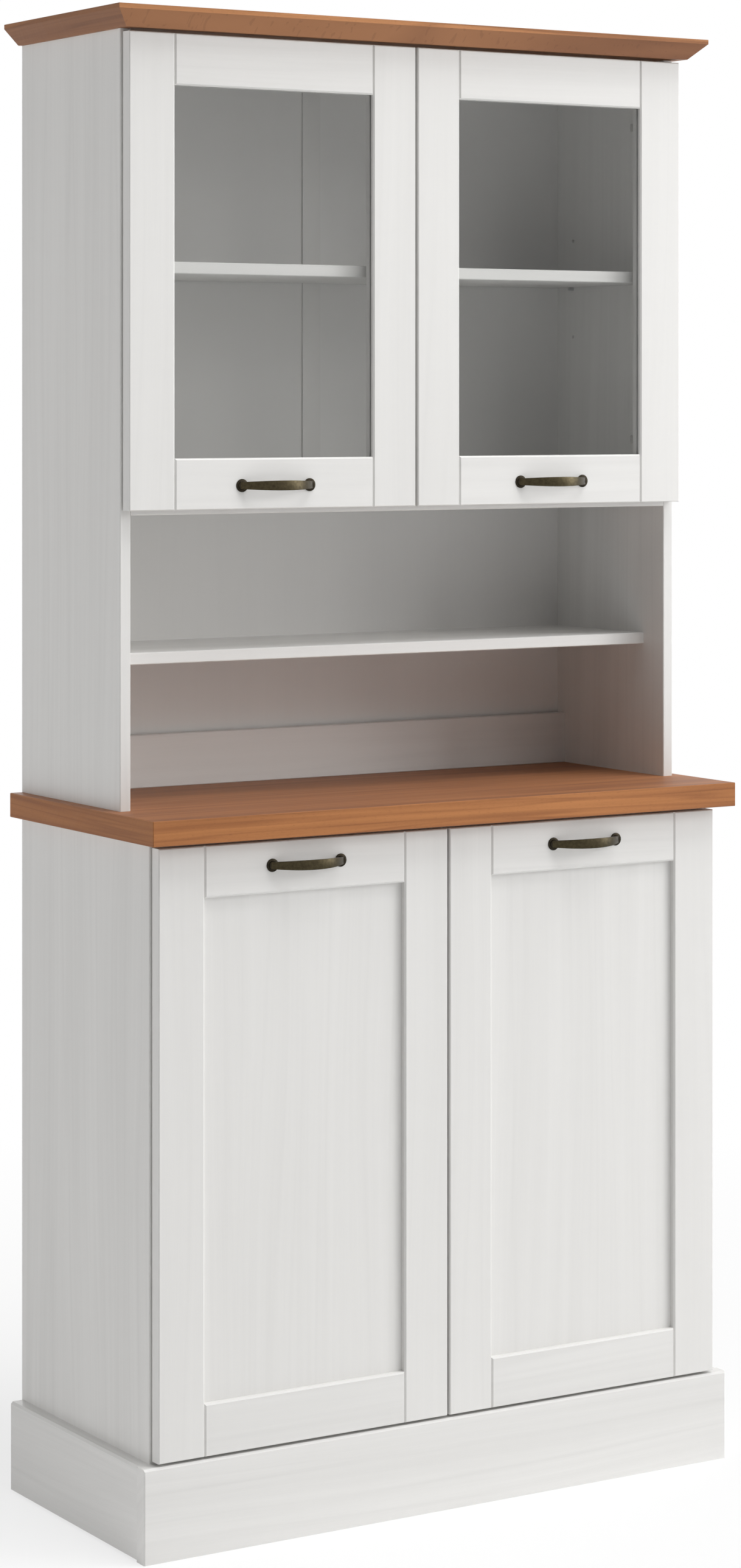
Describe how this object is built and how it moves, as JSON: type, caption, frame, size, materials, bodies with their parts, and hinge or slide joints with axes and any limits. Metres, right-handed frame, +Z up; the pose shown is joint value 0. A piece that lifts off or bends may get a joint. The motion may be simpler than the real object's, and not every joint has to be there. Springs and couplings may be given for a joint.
{
  "type": "buffet cabinet",
  "caption": "Tall buffet cabinet: a base with panelled doors, a worktop, and a hutch with an open shelf under glazed doors, closed by a bevelled top board.",
  "frame": {"origin": "on the floor, in the middle of the width and of the whole depth, handles included", "axes": "+X to the viewer's right, +Y from the doors to the back, +Z up"},
  "size_m": [0.9634, 0.42, 2.04],
  "materials": {
    "painted_board": "pale cream, satin, brushed along the grain",
    "back_board": "pale cream thin board, satin",
    "cherry": "stained cherry, satin varnish",
    "glass": "clear, polished",
    "bronze": "antique bronze, satin",
    "nickelled_steel": "nickel plate",
    "steel": "zinc plate",
    "glide_plastic": "matt",
    "bumper_plastic": "clear, soft",
    "strip_plastic": "satin"
  },
  "bodies": {
    "cabinet": {"plinth_front": "painted_board", "plinth_side_left": "painted_board", "plinth_side_right": "painted_board", "plinth_rear_rail": "painted_board", "floor_glides": "glide_plastic", "base_side_left": "painted_board", "base_side_right": "painted_board", "base_floor": "painted_board", "base_shelf": "painted_board", "base_rail_front": "painted_board", "base_rail_rear": "painted_board", "base_back_sheet": "back_board", "worktop": "cherry", "hutch_side_left": "painted_board", "hutch_side_right": "painted_board", "hutch_back_rail": "painted_board", "open_shelf": "painted_board", "hutch_floor": "painted_board", "glazed_shelf": "painted_board", "hutch_back_sheet_lower": "back_board", "hutch_back_sheet_left": "back_board", "hutch_back_sheet_right": "back_board", "back_joint_strip": "strip_plastic", "cornice_board": "cherry", "shelf_pins": "steel", "door_bumpers": "bumper_plastic", "hinge_arms": "nickelled_steel", "hinge_plates": "nickelled_steel"},
    "upper_left_door": {"upper_left_stile_outer": "painted_board", "upper_left_stile_inner": "painted_board", "upper_left_rail_bottom": "painted_board", "upper_left_rail_top": "painted_board", "upper_left_glass": "glass", "upper_left_handle": "bronze", "upper_left_hinge_cups": "nickelled_steel"},
    "upper_left_links": {"upper_left_hinge_links": "nickelled_steel"},
    "upper_right_door": {"upper_right_stile_outer": "painted_board", "upper_right_stile_inner": "painted_board", "upper_right_rail_bottom": "painted_board", "upper_right_rail_top": "painted_board", "upper_right_glass": "glass", "upper_right_handle": "bronze", "upper_right_hinge_cups": "nickelled_steel"},
    "upper_right_links": {"upper_right_hinge_links": "nickelled_steel"},
    "lower_left_door": {"lower_left_stile_outer": "painted_board", "lower_left_stile_inner": "painted_board", "lower_left_rail_bottom": "painted_board", "lower_left_rail_top": "painted_board", "lower_left_panel": "painted_board", "lower_left_handle": "bronze", "lower_left_hinge_cups": "nickelled_steel"},
    "lower_left_links": {"lower_left_hinge_links": "nickelled_steel"},
    "lower_right_door": {"lower_right_stile_outer": "painted_board", "lower_right_stile_inner": "painted_board", "lower_right_rail_bottom": "painted_board", "lower_right_rail_top": "painted_board", "lower_right_panel": "painted_board", "lower_right_handle": "bronze", "lower_right_hinge_cups": "nickelled_steel"},
    "lower_right_links": {"lower_right_hinge_links": "nickelled_steel"}
  },
  "joints": [
    {"name": "upper_left_link_turn", "type": "hinge", "parent": "cabinet", "child": "upper_left_links", "pos_m": [-0.4277, -0.0881, 1.68925], "axis": [0, 0, -1], "range_deg": [-29, 0]},
    {"name": "upper_left_swing", "type": "hinge", "parent": "upper_left_links", "child": "upper_left_door", "pos_m": [-0.442, -0.0895, 1.68925], "axis": [0, 0, -1], "range_deg": [0, 128]},
    {"name": "upper_right_link_turn", "type": "hinge", "parent": "cabinet", "child": "upper_right_links", "pos_m": [0.4277, -0.0881, 1.68925], "axis": [0, 0, 1], "range_deg": [-29, 0]},
    {"name": "upper_right_swing", "type": "hinge", "parent": "upper_right_links", "child": "upper_right_door", "pos_m": [0.442, -0.0895, 1.68925], "axis": [0, 0, 1], "range_deg": [0, 128]},
    {"name": "lower_left_link_turn", "type": "hinge", "parent": "cabinet", "child": "lower_left_links", "pos_m": [-0.4277, -0.1696, 0.5305], "axis": [0, 0, -1], "range_deg": [-29, 0]},
    {"name": "lower_left_swing", "type": "hinge", "parent": "lower_left_links", "child": "lower_left_door", "pos_m": [-0.442, -0.171, 0.5305], "axis": [0, 0, -1], "range_deg": [0, 128]},
    {"name": "lower_right_link_turn", "type": "hinge", "parent": "cabinet", "child": "lower_right_links", "pos_m": [0.4277, -0.1696, 0.5305], "axis": [0, 0, 1], "range_deg": [-29, 0]},
    {"name": "lower_right_swing", "type": "hinge", "parent": "lower_right_links", "child": "lower_right_door", "pos_m": [0.442, -0.171, 0.5305], "axis": [0, 0, 1], "range_deg": [0, 128]}
  ],
  "couplings": [
    {"joint": "upper_left_link_turn", "follows": "upper_left_swing", "ratio": -0.22},
    {"joint": "upper_right_link_turn", "follows": "upper_right_swing", "ratio": -0.22},
    {"joint": "lower_left_link_turn", "follows": "lower_left_swing", "ratio": -0.22},
    {"joint": "lower_right_link_turn", "follows": "lower_right_swing", "ratio": -0.22}
  ]
}
